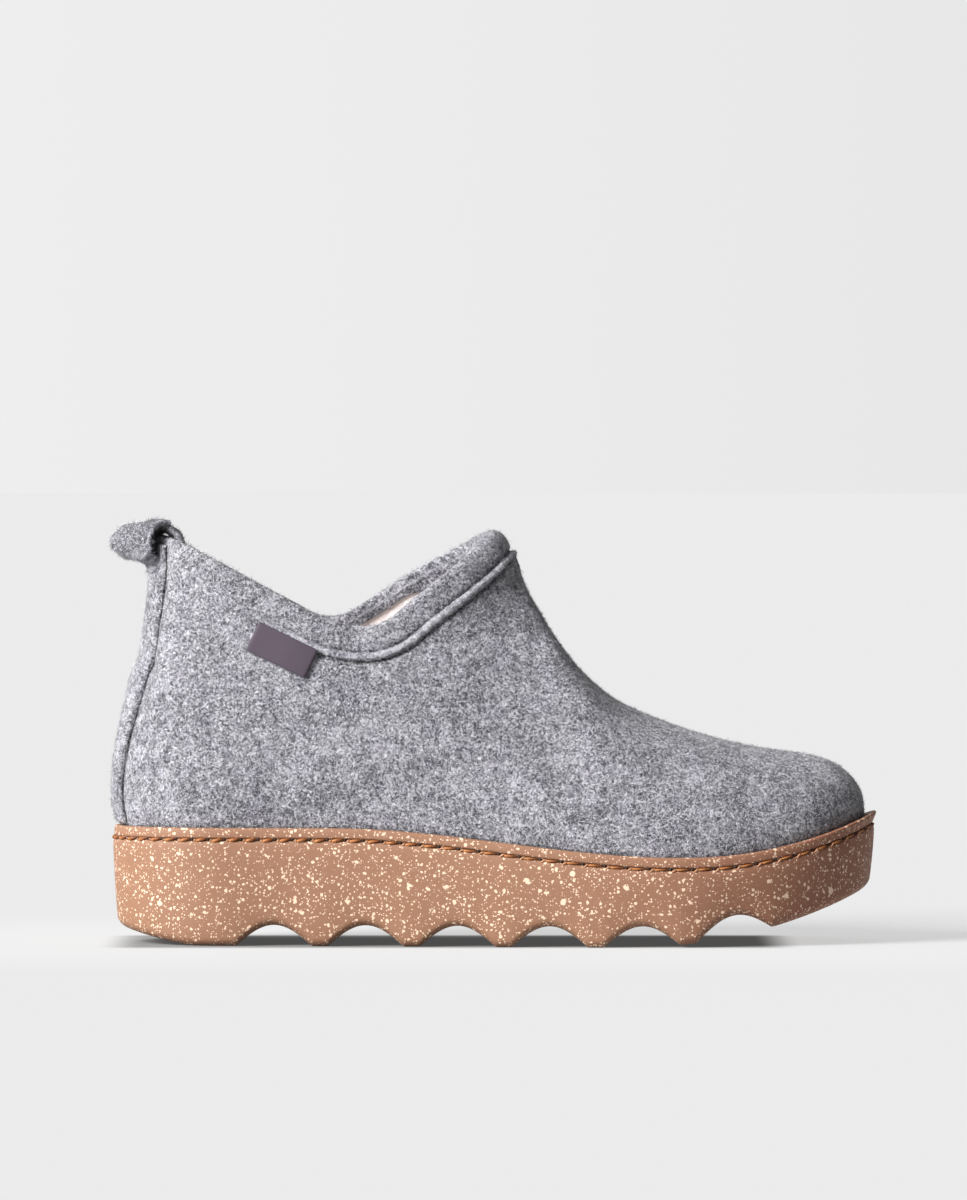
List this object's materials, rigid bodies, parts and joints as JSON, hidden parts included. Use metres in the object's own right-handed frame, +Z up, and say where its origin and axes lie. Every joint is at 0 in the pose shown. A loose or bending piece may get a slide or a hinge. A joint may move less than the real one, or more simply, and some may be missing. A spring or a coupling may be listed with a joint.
{
  "type": "felt slipper",
  "caption": "Right ankle-height felt slipper with a V-dipped collar, heel pull loop, fleece lining and a moulded platform sole with a wavy tread.",
  "frame": {"origin": "centre of the footprint of the whole shoe's bounding box, on the floor under the sole", "axes": "+X to the toe, +Y to the medial side, +Z up; the lateral side with the label faces -Y"},
  "size_m": [0.2618, 0.0934, 0.1444],
  "materials": {
    "speckled_rubber": "matt tan moulded rubber with cream flecks",
    "fleece": "soft pinkish beige fleece",
    "grey_felt": "mottled grey pressed wool felt",
    "felt_strip": "mottled grey pressed wool felt",
    "felt_tape": "mottled grey pressed wool felt, folded",
    "woven_tab": "plain purple grey woven tab"
  },
  "bodies": {
    "root": {"sole": "speckled_rubber", "insole": "fleece", "upper": "grey_felt", "heel_strip": "felt_strip", "pull_loop": "felt_tape", "label": "woven_tab"}
  },
  "joints": []
}
